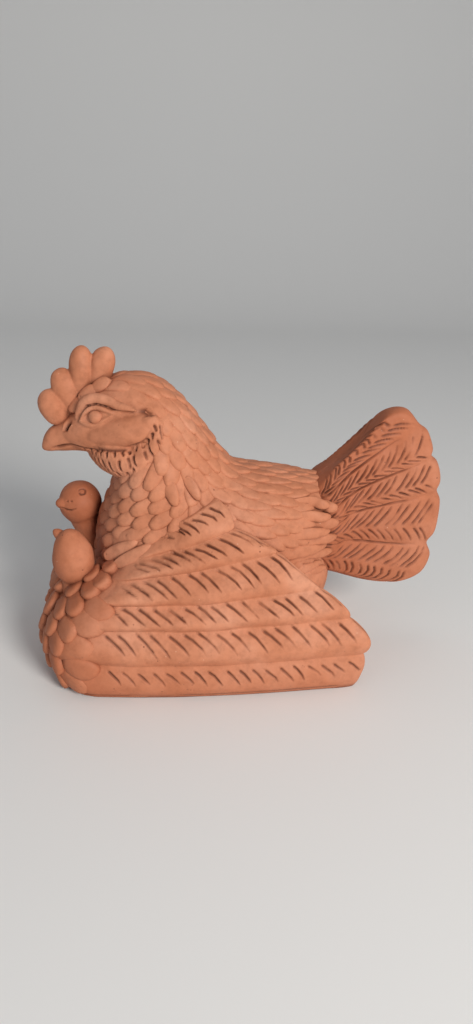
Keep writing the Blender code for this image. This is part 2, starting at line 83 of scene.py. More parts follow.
# Edges of the wing lobes from the base up: height at the front, at the shoulder and at
# the tip, front x, rear x, half width.
LEVELS = (
    (0, 0, 0, -80, 70, 55),
    (19, 18, 19.5, -86, 73, 55.5),
    (36, 35.5, 38.5, -81, 65, 53),
    (47, 47.5, 53, -71, 50, 49.5),
    (55, 62, 70, -60, 29, 45),
    (60, 72.5, 80.5, -52, 9, 40.5),
    (64, 83.5, 92.5, -44, 1, 34),
)
# Tip x and bulge of each wing lobe from the base up.
TIPS = (74.2, 77.2, 67.3, 51.5, 33.0, 13.0)
LOBE_BULGE = (2.6, 2.9, 3.1, 3.1, 2.9, 2.3)
# Strokes of each lobe from the base up: first x, last x, count, start and end
# over the lobe's height, slant.
WING_STROKES = (
    (-49, 66, 18, 0.84, 0.46, 6.5),
    (-52, 67, 17, 0.95, 0.34, 10),
    (-50, 55, 16, 0.95, 0.34, 9.5),
    (-46, 40, 14, 0.96, 0.34, 10.5),
    (-42, 18, 12, 0.96, 0.36, 10.5),
    (-26, -2, 7, 0.94, 0.46, 8.5),
)
# Root and rim of the tail fan from the top down: x, z.
TAIL_ROOT = ((54, 93), (58, 89), (60, 82), (61, 73), (60, 61), (58, 42))
TAIL_RIM = (
    (72, 108), (81, 120), (89, 127.8), (97.5, 128.6), (105, 121.2),
    (109.5, 118), (112.2, 113), (113.8, 108.5), (113.8, 104.5),
    (117, 101.5), (119.4, 96), (120.4, 90.5), (119.4, 85.5),
    (121.8, 80), (122.3, 71), (121.6, 62), (118.3, 55.5),
    (121, 47.5), (117, 37.5), (104, 32.4), (80, 34.2),
)
TAIL_LOBES = 5
# Scales on the front of each wing: level, place from the middle of the front at 0
# round to the side at 6, half length, half width and how proud the tip stands.
FRONT_SCALES = (
    (0.37, 4.7, 6.4, 5.2, 0.8), (0.91, 5.3, 6.8, 5.4, 1.2), (1.56, 5, 6.8, 5.4, 1.4),
    (2.30, 4.9, 6.6, 5.4, 1.6), (2.89, 4.8, 6.2, 5, 1.6), (0.28, 3.4, 5.6, 4.8, 2.2),
    (0.81, 3.6, 5.6, 5.2, 2.2), (1.40, 3.7, 5.6, 5.2, 2.2), (1.92, 4.1, 5.6, 5, 2.2),
    (2.72, 3.4, 6.2, 4.8, 2.2), (3.42, 3.3, 5.4, 4.6, 2.2), (3.94, 3.3, 4.8, 4, 2.2),
    (3.86, 2.3, 4.8, 4, 2.2), (4.62, 2.8, 4.2, 3.8, 1.8), (0.60, 2.3, 5.4, 4.8, 2.2),
    (1.12, 2.5, 5.4, 4.8, 2.2), (1.72, 2.7, 5.4, 4.8, 2.2), (2.31, 2.7, 5.2, 4.6, 2.2),
    (3.05, 2.2, 5.2, 4.4, 2.2), (0.35, 1.1, 5.2, 4.8, 2), (0.90, 1.3, 5.2, 4.8, 2),
    (1.40, 1.4, 5.2, 4.8, 2), (2.00, 1.5, 5.2, 4.6, 2), (2.65, 1.1, 5, 4.4, 2),
    (0.62, 0.3, 5, 4.8, 1.8), (1.15, 0.3, 5, 4.8, 1.8), (1.72, 0.4, 5, 4.6, 1.8),
    (2.35, 0.3, 5, 4.4, 1.8),
)
# The base slab under the first lobe, and the height and depth of the seam over it.
SLAB = 1.6
SEAM = 0.9
SEAM_DEPTH = 1.5
LOBE_FOOT = LEVELS[1][0]
# Each wing reaches this far past the middle plane, so that the two overlap.
PAST_MIDDLE = -0.6


def spline(table, t):
    rows = np.asarray(table, float)
    last = len(rows) - 1
    t = np.clip(np.asarray(t, float), 0.0, last)
    i = np.minimum(t.astype(int), last - 1)
    f = (t - i)[..., None]
    wide = np.vstack([2 * rows[0] - rows[1], rows, 2 * rows[-1] - rows[-2]])
    p0, p1, p2, p3 = wide[i], wide[i + 1], wide[i + 2], wide[i + 3]
    return 0.5 * (2 * p1 + (p2 - p0) * f + (2 * p0 - 5 * p1 + 4 * p2 - p3) * f ** 2
                  + (3 * p1 - p0 - 3 * p2 + p3) * f ** 3)


def unit(v):
    v = np.asarray(v, float)
    return v / np.maximum(np.linalg.norm(v, axis=-1, keepdims=True), 1e-9)


def around(count):
    return np.linspace(0.0, 2 * math.pi, count, endpoint=False)


def part(x):
    """x held between 0 and 1."""
    return np.clip(x, 0.0, 1.0)


def grid_faces(rows, cols, wrap=False):
    """Quads of a grid of rows by cols points, closed across the columns if wrap."""
    i = np.arange(rows - 1)[:, None]
    j = np.arange(cols if wrap else cols - 1)[None, :]
    k = (j + 1) % cols
    quads = np.stack([i * cols + j, i * cols + k, (i + 1) * cols + k, (i + 1) * cols + j], -1)
    return quads.reshape(-1, 4)


def grid_normals(grid):
    du = np.gradient(grid, axis=1)
    dv = np.gradient(grid, axis=0)
    return unit(np.cross(du, dv))


def lumps(points, size, height, seed):
    """Soft uneven surface of hand-pressed clay, a value for each point."""
    rng = np.random.default_rng(seed)
    total = np.zeros(len(points))
    for _ in range(14):
        d = unit(rng.normal(size=3)) * (2.0 * math.pi / (size * rng.uniform(0.6, 1.8)))
        total += np.sin(points @ d + rng.uniform(0.0, 6.28))
    return total * height / 3.7


def carve(points, normals, strokes, burr=0.10):
    """Push points in along tapered grooves; gives the moved points and how deep each lies."""
    moved = np.zeros(len(points))
    deep = np.zeros(len(points))
    for path, width, depth in strokes:
        path = np.asarray(path, float)
        low, high = path.min(0) - 2.5, path.max(0) + 2.5
        near = np.nonzero(np.all((points > low) & (points < high), axis=1))[0]
        if not len(near):
            continue
        p = points[near]
        best = np.full(len(near), 1e9)
        place = np.zeros(len(near))
        steps = len(path) - 1
        for k in range(steps):
            a, b = path[k], path[k + 1]
            ab = b - a
            t = part(((p - a) @ ab) / max(ab @ ab, 1e-9))
            d = np.linalg.norm(p - (a + t[:, None] * ab), axis=1)
            closer = d < best
            best = np.where(closer, d, best)
            place = np.where(closer, (k + t) / steps, place)
        taper = np.clip(place / 0.08, 0.35, 1.0) * part((1.0 - place) / 0.35) ** 0.5
        across = width * (1.15 - 0.45 * place)
        groove = np.exp(-(best / across) ** 2) * taper
        lip = np.exp(-((best - 2.1 * across) / (0.8 * across)) ** 2) * taper
        moved[near] += lip * burr * depth
        moved[near] = np.minimum(moved[near], moved[near] - depth * groove)
        deep[near] = np.maximum(deep[near], groove)
    return points + normals * moved[:, None], deep


def mesh_of(name, points, faces):
    mesh = bpy.data.meshes.new(name)
    mesh.vertices.add(len(points))
    mesh.vertices.foreach_set("co", (np.asarray(points) * MM).astype(np.float32).ravel())
    faces = np.asarray(faces)
    count = len(faces)
    keep = np.ones(faces.shape, bool)
    keep[faces[:, 2] == faces[:, 3], 3] = False
    keep[faces[:, 0] == faces[:, 1], 0] = False
    sizes = keep.sum(1)
    loops = faces[keep]
    mesh.loops.add(len(loops))
    mesh.loops.foreach_set("vertex_index", loops.astype(np.int32))
    mesh.polygons.add(count)
    mesh.polygons.foreach_set("loop_start", (np.cumsum(sizes) - sizes).astype(np.int32))
    mesh.polygons.foreach_set("use_smooth", np.ones(count, bool))
    mesh.update(calc_edges=True)
    mesh.validate()
    return mesh


def add_object(name, data):
    item = bpy.data.objects.new(name, data)
    bpy.context.scene.collection.objects.link(item)
    return item


def piece(name, points, faces, groove=None, tone_and_shade=None):
    """One visible piece of the figurine, inside the part's own box, with its groove values and its tone and
    painted shade values stored.
    """
    mesh = mesh_of(name, np.clip(points, BOX_LOW, BOX_HIGH), faces)
    item = add_object(name, mesh)
    for key, values in (("groove", groove), ("tone_and_shade", tone_and_shade)):
        data = np.zeros(len(mesh.vertices)) if values is None else np.asarray(values)
        if len(data) == len(mesh.vertices):
            layer = mesh.attributes.new(key, "FLOAT", "POINT")
            layer.data.foreach_set("value", data.astype(np.float32))
    work = bmesh.new()
    work.from_mesh(mesh)
    bmesh.ops.recalc_face_normals(work, faces=work.faces)
    work.to_mesh(mesh)
    work.free()
    mesh.materials.append(TERRACOTTA)
    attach(item, "root")
    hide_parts(NODE)


class Heap:
    """Many small closed shapes gathered into one piece."""

    def __init__(self):
        self.points = []
        self.faces = []
        self.tone_and_shade = []
        self.count = 0

    def add(self, points, faces, tone_and_shade=0.0):
        self.points.append(points)
        self.faces.append(np.asarray(faces) + self.count)
        self.tone_and_shade.append(np.full(len(points), tone_and_shade))
        self.count += len(points)

    def all(self):
        return np.vstack(self.points), np.vstack(self.faces), np.concatenate(self.tone_and_shade)

    def build(self, name):
        points, faces, tone_and_shade = self.all()
        piece(name, points, faces, tone_and_shade=tone_and_shade)


def closed_grid(grid):
    """Rings of a grid, wrapped across, with both ends drawn to their middle points."""
    rows, cols, _ = grid.shape
    points = np.vstack([grid.reshape(-1, 3), grid[0].mean(0), grid[-1].mean(0)])
    faces = [grid_faces(rows, cols, True)]
    j = np.arange(cols)
    k = (j + 1) % cols
    first, last = np.full(cols, rows * cols), np.full(cols, rows * cols + 1)
    far = (rows - 1) * cols
    faces.append(np.stack([k, j, first, first], -1))
    faces.append(np.stack([far + j, far + k, last, last], -1))
    return points, np.vstack(faces)


def frame_of(along, up):
    a = unit(along)
    b = unit(np.cross(up, a))
    return a, b, np.cross(a, b)


def egg(centre, along, length, width, height, rings=28, sides=32, point=0.0, power=1.0):
    """Closed ellipsoid along a direction; point above 0 narrows its far end."""
    a, b, c = frame_of(along, (0, 0, 1))
    angle = np.linspace(0.02, math.pi - 0.02, rings)[:, None]
    turn = around(sides)[None, :]
    s = -np.cos(angle)
    r = np.sin(angle) ** power * (1.0 - point * (s + 1.0) * 0.5)
    middle = np.asarray(centre, float) + a * (s * length)[..., None]
    grid = middle + b * (r * width * np.cos(turn))[..., None] + c * (r * height * np.sin(turn))[..., None]
    return closed_grid(grid)


def ringed(line, out, y, z):
    """Closed rings across a line: y beside it and z toward out."""
    along = unit(np.gradient(line, axis=0))
    b = unit(np.cross(out, along))
    c = np.cross(along, b)
    return closed_grid(line[:, None] + b[:, None] * y[..., None] + c[:, None] * z[..., None])


def tube(path, radii):
    """Closed rounded ridge on a smooth path."""
    t = np.linspace(0.0, len(path) - 1.0, 40)
    line = spline(path, t)
    radius = np.maximum(spline(np.asarray(radii)[:, None], t), 0.05)
    turn = around(20)
    return ringed(line, (0.0, 1.0, 0.02), radius * np.cos(turn), radius * np.sin(turn))


def fuse(name, shapes, voxel, smooth):
    """Press closed shapes into one skin: voxel remesh, then a little smoothing."""
    heap = Heap()
    for points, faces in shapes:
        heap.add(points, outward(points, faces))
    points, faces, _ = heap.all()
    mesh = mesh_of(name, points, faces)
    item = add_object(name, mesh)
    remesh = item.modifiers.new("remesh", "REMESH")
    remesh.mode = "VOXEL"
    remesh.voxel_size = voxel * MM
    relax = item.modifiers.new("relax", "SMOOTH")
    relax.factor = 0.5
    relax.iterations = smooth
    result = bpy.data.meshes.new_from_object(item.evaluated_get(bpy.context.evaluated_depsgraph_get()))
    count = len(result.vertices)
    co = np.empty(count * 3, np.float32)
    result.vertices.foreach_get("co", co)
    no = np.empty(count * 3, np.float32)
    result.vertices.foreach_get("normal", no)
    quads = np.array([tuple(p.vertices) for p in result.polygons if len(p.vertices) == 4])
    bpy.data.objects.remove(item, do_unlink=True)
    bpy.data.meshes.remove(result)
    return co.reshape(-1, 3).astype(float) * PER_METRE, no.reshape(-1, 3).astype(float), quads


def outward(points, faces):
    """Faces wound so that the closed shape's normals point out."""
    a, b, c, d = (points[faces[:, k]] for k in range(4))
    volume = np.sum(np.cross(a, b) * c) + np.sum(np.cross(a, c) * d)
    return faces if volume > 0 else faces[:, ::-1]


# Material

WHITE = (1.0, 1.0, 1.0)
BLACK = (0.0, 0.0, 0.0)


class Nodes:
    """Shader nodes of one material, made and joined."""

    def __init__(self, material):
        self.nodes = material.node_tree.nodes
        self.links = material.node_tree.links
        self.place = self.nodes.new("ShaderNodeTexCoord").outputs["Object"]

    def fill(self, node, inputs):
        """Give the inputs of a node a number, a colour or the output of another node."""
        for key, value in inputs.items():
            if isinstance(value, (int, float)):
                node.inputs[key].default_value = value
            elif isinstance(value, tuple):
                node.inputs[key].default_value = (*value, 1.0)
            else:
                self.links.new(value, node.inputs[key])
        return node.outputs

    def noise(self, scale, detail, rough=0.5):
        inputs = {"Scale": scale, "Detail": detail, "Roughness": rough, "Vector": self.place}
        return self.fill(self.nodes.new("ShaderNodeTexNoise"), inputs)["Fac"]

    def cells(self, scale):
        inputs = {"Scale": scale, "Vector": self.place}
        return self.fill(self.nodes.new("ShaderNodeTexVoronoi"), inputs)["Distance"]

    def shelter(self, distance):
        node = self.nodes.new("ShaderNodeAmbientOcclusion")
        node.samples = 6
        return self.fill(node, {"Distance": distance})["AO"]

    def attribute(self, name):
        node = self.nodes.new("ShaderNodeAttribute")
        node.attribute_name = name
        return node.outputs["Fac"]

    def ramp(self, source, stops):
        node = self.nodes.new("ShaderNodeValToRGB")
        while len(node.color_ramp.elements) < len(stops):
            node.color_ramp.elements.new(0.5)
        for element, (place, colour) in zip(node.color_ramp.elements, stops):
            element.position = place
            element.color = (*colour, 1.0)
        return self.fill(node, {"Fac": source})["Color"]

    def mix(self, kind, factor, first, second):
        node = self.nodes.new("ShaderNodeMix")
        node.data_type = "RGBA"
        node.blend_type = kind
        return self.fill(node, {0: factor, 6: first, 7: second})[2]

    def product(self, first, second):
        node = self.nodes.new("ShaderNodeMath")
        node.operation = "MULTIPLY"
        return self.fill(node, {0: first, 1: second})[0]

    def bump(self, strength, distance, height):
        node = self.nodes.new("ShaderNodeBump")
        self.fill(node, {"Strength": strength, "Distance": distance, "Height": height})
        return node


def terracotta():
    """Unglazed fired clay: mottled orange brown, fine grain, small pits and pale specks, with painted shade
    in the grooves, the hollows and the shaded parts.
    """
    found = bpy.data.materials.new("terracotta_fired")
    found.use_nodes = True
    clay = Nodes(found)
    broad = clay.ramp(clay.noise(38.0, 3.0), (
        (0.30, (0.485, 0.168, 0.078)), (0.50, (0.565, 0.212, 0.108)), (0.72, (0.620, 0.262, 0.150))))
    mottle = clay.ramp(clay.noise(260.0, 4.0, 0.6), (
        (0.32, (0.80, 0.78, 0.76)), (0.52, WHITE), (0.75, (1.10, 1.12, 1.14))))
    colour = clay.mix("MULTIPLY", 0.75, broad, mottle)
    # Darker red-brown where the stored tone value is high: random clay tone on some pieces, painted shade
    # and bounce light on others.
    colour = clay.mix("MIX", clay.attribute("tone_and_shade"), colour, (0.39, 0.105, 0.040))
    small = clay.ramp(clay.cells(420.0), ((0.10, WHITE), (0.22, BLACK)))
    some = clay.ramp(clay.noise(150.0, 1.0), ((0.64, BLACK), (0.70, (0.8, 0.8, 0.8))))
    pits = clay.product(small, some)
    colour = clay.mix("MIX", pits, colour, (0.24, 0.075, 0.035))
    specks = clay.ramp(clay.cells(160.0), ((0.020, (0.55, 0.55, 0.55)), (0.045, BLACK)))
    colour = clay.mix("MIX", specks, colour, (0.80, 0.60, 0.44))
    # Painted shade in the carved grooves: the stored groove depth darkens them to a deep brown.
    groove = clay.product(clay.attribute("groove"), 0.92)
    colour = clay.mix("MIX", groove, colour, (0.125, 0.032, 0.013))
    # Painted shade in hollows and creases, taken from ambient occlusion.
    hollow = clay.ramp(clay.shelter(0.005), ((0.25, (0.42, 0.33, 0.29)), (0.80, WHITE)))
    colour = clay.mix("MULTIPLY", 0.8, colour, hollow)
    rough = clay.ramp(clay.noise(120.0, 2.0), ((0.3, (0.64, 0.64, 0.64)), (0.7, (0.80, 0.80, 0.80))))
    grain = clay.bump(0.35, 0.0003, clay.noise(900.0, 5.0, 0.65))
    holes = clay.bump(0.6, 0.0004, pits)
    holes.invert = True
    wave = clay.bump(0.5, 0.0010, clay.noise(170.0, 3.0))
    clay.fill(holes, {"Normal": grain.outputs["Normal"]})
    clay.fill(wave, {"Normal": holes.outputs["Normal"]})
    shader = found.node_tree.nodes["Principled BSDF"]
    clay.fill(shader, {"Specular IOR Level": 0.45, "Base Color": colour, "Roughness": rough,
                       "Normal": wave.outputs["Normal"]})
    return found


TERRACOTTA = terracotta()


# Neck and body with applied feathers

def body_point(s, turn, lift=0.0):
    s, turn, lift = np.broadcast_arrays(np.asarray(s, float), turn, lift)
    x1, z1, x0, z0, w = np.moveaxis(spline(STATIONS, s), -1, 0)
    cx, cz = (x0 + x1) / 2, (z0 + z1) / 2
    hx, hz = (x1 - x0) / 2, (z1 - z0) / 2
    long = np.hypot(hx, hz)
    c, q = np.cos(turn), np.sin(turn)
    p = np.stack([cx + hx * c, w * q, cz + hz * c], -1)
    n = unit(np.stack([hx / long * c * w, q * long, hz / long * c * w], -1))
    return p + n * lift[..., None]


def skin_frame(s, turn, angle, skin):
    """Slopes of a skin along it and round it, its outward normal, and the directions
    ahead of and beside a feather that leans by angle."""
    p = skin(s, turn)
    ds = (skin(s + 0.02, turn) - p) / 0.02
    dt = (skin(s, turn + 0.01) - p) / 0.01
    out = np.cross(ds, dt)
    inner = np.array((-20.0, 0.0, p[2])) if skin is not body_point else body_point(s, turn, -1.0)
    out = unit(out * np.sign(out @ (p - inner)))
    round_ = unit(dt) * math.copysign(1.0, turn)
    back = np.cross(round_, out)
    back = back * math.copysign(1.0, back @ ds)
    ahead = back * math.cos(angle) + round_ * math.sin(angle)
    beside = round_ * math.cos(angle) - back * math.sin(angle)
    return ds, dt, out, ahead, beside


def closed_patch(top, base, drop):
    """Grid of points closed below by the rim of its base, moved down, and a middle point."""
    rows, cols, _ = top.shape
    rim = [i * cols for i in range(rows)] + [(rows - 1) * cols + j for j in range(1, cols)]
    rim += [i * cols + cols - 1 for i in range(rows - 2, -1, -1)] + list(range(cols - 2, 0, -1))
    rim = np.array(rim)
    low = base.reshape(-1, 3)[rim] - drop
    points = np.vstack([top.reshape(-1, 3), low, low.mean(0)])
    k = np.arange(len(rim))
    after = np.roll(k, -1)
    first = rows * cols
    last = np.full(len(rim), first + len(rim))
    faces = [grid_faces(rows, cols), np.stack([rim, first + k, first + after, np.roll(rim, -1)], -1),
             np.stack([first + after, first + k, last, last], -1)]
    return points, np.vstack(faces)


def feather(s, turn, angle, length, half, thick, tilt, sharp, skin=body_point, ends=(0.3, 12.0), drop=1.3):
    """Closed patch laid on the skin with its middle at s, turn: its root is sunk, its
    tip stands proud, and tilt lifts the edge on the belly side."""
    ds, dt, out, ahead, beside = skin_frame(s, turn, angle, skin)
    a = np.array([0.0, 0.16, 0.34, 0.50, 0.64, 0.76, 0.86, 0.93, 0.98, 1.0])[:, None]
    b = np.array([-1.0, -0.93, -0.72, -0.38, 0.0, 0.38, 0.72, 0.93, 1.0])[None, :]
    wide = np.where(a < 0.5, 0.72 + 0.28 * np.sin(part(a / 0.5) * math.pi / 2),
                    np.sqrt(part(1.0 - part((a - 0.5) / 0.502) ** sharp)))
    move = ahead * (length * (a - 0.5))[..., None] + beside * (half * wide * b)[..., None]
    gram = np.array([[ds @ ds, ds @ dt], [ds @ dt, dt @ dt]])
    step = np.stack([move @ ds, move @ dt], -1) @ np.linalg.inv(gram)
    edge = part(1.0 - np.abs(b) ** 6) ** 0.5
    tip = part(1.0 - part((a - 0.70) / 0.30) ** 5) ** 0.5
    rise = thick * (0.1 + 0.9 * part(a / 0.75)) + tilt * b * part(a * 1.6)
    lift = -0.8 + (np.maximum(rise, 0.05) + 0.8) * edge * tip
    base = skin(np.clip(s + step[..., 0], *ends), turn + step[..., 1])
    return closed_patch(base + out * lift[..., None], base, out * drop)


def plumage_skin():
    """Where a feather may lie: station, turn, point, and the directions back, round and out."""
    stations = np.arange(1.05, 11.85, 0.045)
    turns = np.linspace(-math.pi, math.pi, 230, endpoint=False)
    s, turn = np.meshgrid(stations, turns, indexing="ij")
    s, turn = s.ravel(), turn.ravel()
    keep = ~((s > 7.2) & (np.abs(turn) > 2.2))
    s, turn = s[keep], turn[keep]
    p = body_point(s, turn)
    clear = (p[:, 0] > -24.0) | (p[:, 2] < 104.0) | (p[:, 2] > 134.0)
    s, turn, p = s[clear], turn[clear], p[clear]
    ds = unit(body_point(s + 0.02, turn) - p)
    dt = unit(body_point(s, turn + 0.01) - p) * np.sign(turn + 1e-6)[:, None]
    out = unit(np.cross(ds, dt))
    back = np.cross(dt, out)
    back *= np.sign(np.sum(back * ds, -1))[:, None]
    return s, turn, p, back, dt, out


def feather_lean(p):
    """Lean of a feather at each point, from the places of the flow table near it."""
    table = np.array(FLOW)
    spots = body_point(table[:, 0], table[:, 1])
    angle = np.radians(table[:, 2])
    near = p.copy()
    near[:, 1] = np.abs(near[:, 1])
    weight = 1.0 / (np.linalg.norm(near[:, None] - spots[None], axis=-1) + 1.5) ** 3
    return np.arctan2(weight @ np.sin(angle), weight @ np.cos(angle))


def plumage_places():
    """Staggered places for the feathers, each far enough from those already laid."""
    s, turn, p, back, round_, out = plumage_skin()
    lean = feather_lean(p)
    ahead = back * np.cos(lean)[:, None] + round_ * np.sin(lean)[:, None]
    beside = round_ * np.cos(lean)[:, None] - back * np.sin(lean)[:, None]
    rump = part((s - 6.6) / 1.6)
    crest = part((3.0 - s) / 0.8) * part((1.3 - np.abs(turn)) / 0.3)
    long = 9.2 + 1.0 * rump + 4.0 * crest
    wide = 6.9 - 0.9 * rump - 0.4 * crest
    order = np.argsort(s + RNG.uniform(-0.03, 0.03, len(s)), kind="stable")
    free = np.ones(len(s), bool)
    places = []
    for k in order:
        if not free[k]:
            continue
        places.append((s[k], turn[k], lean[k], long[k], wide[k], rump[k]))
        gap = p - p[k]
        lengthwise = (gap @ ahead[k]) / long[k]
        across = (gap @ beside[k]) / wide[k]
        apart = (gap @ out[k]) / 8.0
        free &= lengthwise ** 2 + across ** 2 + apart ** 2 > 0.86
    return places


def make_body():
    s = np.linspace(1.2, 12.0, 90)
    turn = around(110)
    grid = body_point(s[:, None], turn[None, :], -0.2)
    points, faces = closed_grid(grid)
    piece("body_skin", points, faces)
    plumage = Heap()
    for s0, turn0, lean, long, wide, rump in plumage_places():
        breast = min(max((abs(turn0) - 1.05) / 0.5, 0.0), 1.0) * (1.0 - rump)
        thick = (1.45 + 1.15 * breast - 0.25 * rump) * RNG.uniform(0.85, 1.2)
        points, faces = feather(
            s0, turn0, lean + RNG.uniform(-0.10, 0.10), long * 1.85 * RNG.uniform(0.94, 1.08),
            wide * 0.60 * RNG.uniform(0.94, 1.08), thick, 0.50 - 0.25 * breast, 2.2 - 0.35 * rump)
        points[:, 2] = np.maximum(points[:, 2], 0.4)
        # Painted shade on the breast under the head: feathers low at the front get a darker tone on top of
        # a random one.
        shade = 0.6 * min(max((-36.0 - points[0, 0]) / 12.0, 0.0), 1.0) * float(points[0, 2] < 104.0)
        plumage.add(points, faces, RNG.uniform(0.0, 0.16) + shade)
    plumage.build("body_feathers")


# Wings

def level_rows(v):
    """Interpolated level rows, lobe bulge and tip x for an array of levels."""
    table = np.asarray(LEVELS)
    i = np.clip(v.astype(int), 0, len(LEVELS) - 2)
    f = v - i
    row = spline(LEVELS, v)
    row[:, 0] = np.interp(v, range(7), table[:, 0])
    bulge = np.asarray(LOBE_BULGE)[i] * np.sin(math.pi * (1.0 - f) ** 1.35)
    top = np.maximum(table[i, 4], table[i + 1, 4])
    tip = row[:, 4] + (np.asarray(TIPS)[i] - top) * part(np.sin(math.pi * f)) ** 0.6
    return row, bulge, tip


def wing_plan(v):
    """Contour of the wing from above at each level v: x and y of its 17 points."""
    row, bulge, tip = level_rows(v)
    front, half = row[:, 3], row[:, 5]
    shoulder = np.minimum(front + 30.0, -18.0)
    middle = np.full(len(v), PAST_MIDDLE)
    xs = []
    ys = []
    for i in range(7):
        t = math.pi / 2 * i / 6
        hollow = 4.0 if i == 0 else 0.0
        xs.append(shoulder - (shoulder - front + bulge * 0.5) * math.cos(t) ** 0.75 + hollow)
        ys.append((half - 2.0 + bulge) * math.sin(t) ** 0.8 if i else middle)
    for i in range(1, 6):
        f = i / 6
        xs.append(shoulder + (tip - 5.0 - shoulder) * f)
        ys.append(half - 2.0 + 2.0 * math.sin(math.pi * min(f * 1.15, 1.0)) + bulge * (1.0 - 0.25 * f ** 3))
    edge = half - 2.0 + bulge * 0.75
    inner = np.minimum(tip - 12.0, 58.0)
    for x, y in ((tip - 1.6, edge - 1.6), (tip, edge - 5.0), (tip - 3.5, edge - 9.0),
                 (inner, edge * 0.55), (inner - 2.0, middle)):
        xs.append(x)
        ys.append(y)
    return np.stack([np.stack(xs, -1), np.stack(ys, -1)], -1)


def wing_grid(v, side, inset, q):
    """Points of wing contours: levels v, insets for each level, places q along the contour."""
    row = level_rows(v)[0]
    lines = np.stack([spline(one, q) for one in wing_plan(v)])
    x, y = lines[..., 0], lines[..., 1]
    along = np.clip(x, -50.0, None)
    z = np.empty_like(x)
    for k in range(len(v)):
        z[k] = np.interp(along[k], (-50.0, -15.0, max(row[k, 4], 1.0)), row[k, :3])
    slot = inset[:, None] * part((x + 64.0) / 3.0) * part((62.0 - x) / 4.0)
    gap = 1.0 - np.exp(-((x + 26.0) / 17.0) ** 4)
    y = y - slot * gap * (y > 20.0)
    return np.stack([x, side * y, z], -1)


def wing_levels():
    """Levels of the wing's rows of points and their insets: the slab, its seam, the lobes."""
    slab = SLAB / LOBE_FOOT
    seam = (SLAB + SEAM) / LOBE_FOOT
    rows = [0.0, SLAB * 0.5 / LOBE_FOOT, slab, slab + 0.001, seam, seam + 0.001]
    inset = [0.25, 0.0, 0.15, SEAM_DEPTH, SEAM_DEPTH, 0.3]
    for lobe in range(6):
        first = 0.16 if lobe == 0 else 0.0
        rows += list(lobe + np.linspace(first, 1.0, 36, endpoint=False))
    rows.append(6.0)
    inset += [0.0] * (len(rows) - len(inset))
    return np.array(rows), np.array(inset)


def wing_strokes(v, grid):
    """Slanting strokes across the lobes: path over the outer side, width, depth."""
    outer = slice(45, 384)
    strokes = []
    for lobe, (x0, x1, count, high, low, slant) in enumerate(WING_STROKES):
        for i in range(count):
            x = x0 + (x1 - x0) * i / (count - 1) + RNG.uniform(-1.0, 1.0)
            line = []
            h = high + RNG.uniform(-0.04, 0.03)
            d = low + RNG.uniform(-0.05, 0.08)
            lean = slant * RNG.uniform(0.85, 1.12)
            for f in (0.0, 0.3, 0.65, 1.0):
                level = lobe + h + (d - h) * f
                row = int(np.argmin(np.abs(v - level)))
                at = x + lean * (f + 0.12 * math.sin(math.pi * f))
                col = outer.start + int(np.argmin(np.abs(grid[row, outer, 0] - at)))
                line.append(grid[row, col])
            strokes.append((line, RNG.uniform(0.44, 0.54), RNG.uniform(1.0, 1.4)))
    return strokes


def make_wing(side, name):
    v, inset = wing_levels()
    q = np.concatenate([np.linspace(0, 6, 60, endpoint=False), np.linspace(6, 12, 320, endpoint=False),
                        np.linspace(12, 15, 24, endpoint=False), np.linspace(15, 16, 8)])
    grid = wing_grid(v, side, inset, q)
    flat = grid.reshape(-1, 3)
    normal = (grid_normals(grid) * -side).reshape(-1, 3)
    strokes = wing_strokes(v, grid)
    uneven = lumps(flat, 16.0, 0.30, 3 if side < 0 else 4) * part((flat[:, 2] - 3.0) / 6.0)
    # The front is sunk, because scales lie over it.
    sunk = (1.0 + 2.2 * part((4.0 - q) / 2.0)) * part((5.6 - q) / 1.2)
    sunk = sunk * part(q / 0.3)
    flat = flat + normal * (uneven - np.tile(sunk, len(v)))[:, None]
    moved, deep = carve(flat, normal, strokes)
    moved[:, 2] = np.maximum(moved[:, 2], 0.0)
    points, faces = closed_grid(moved.reshape(grid.shape))
    deep = np.concatenate([deep, (0.0, 0.0)])
    # Painted shade: the wing turns darker and redder toward the bottom, standing for shade and the warm
    # bounce light of the board, and toward its front end, which faces away from the light.
    low = part((30.0 - points[:, 2]) / 30.0) * 0.35
    left_side_shade = part((-38.0 - points[:, 0]) / 25.0) * 0.45
    piece(name, points, faces, groove=deep, tone_and_shade=low + left_side_shade)


def leaf(centre, along, out, length, width, thick, curl, sharp, sink):
    """Rounded scale: a low dome with a sunk root, whose far end stands proud."""
    a, b, c = frame_of(along, out)
    turn = around(28)
    ring = []
    for x in np.concatenate([np.linspace(0.0, 0.86, 16, endpoint=False), np.linspace(0.86, 1.0, 7)]):
        if x > 0.45:
            w = math.sqrt(max(1.0 - ((x - 0.45) / 0.552) ** sharp, 0.0))
        else:
            w = math.sqrt(max(1.0 - ((0.45 - x) / 0.455) ** 2.6, 0.0))
        end = math.sqrt(max(1.0 - max((x - 0.78) / 0.222, 0.0) ** 3, 0.0))
        h = thick * (0.12 + 0.88 * math.sin(min(x / 0.72, 1.0) * math.pi / 2)) * end
        y = width * w * np.cos(turn)
        z = np.where(np.sin(turn) > 0, h * np.abs(np.sin(turn)) ** 0.8, -2.4 * np.abs(np.sin(turn)))
        bend = -curl * (4.0 * (x - 0.5) ** 2 + 0.4 * (y / width) ** 2) - sink * (1.0 - x) ** 1.5
        middle = np.asarray(centre) + a * ((x - 0.5) * 2 * length)
        ring.append(middle + b * y[:, None] + c * (z + bend)[:, None])
    return closed_grid(np.array(ring))


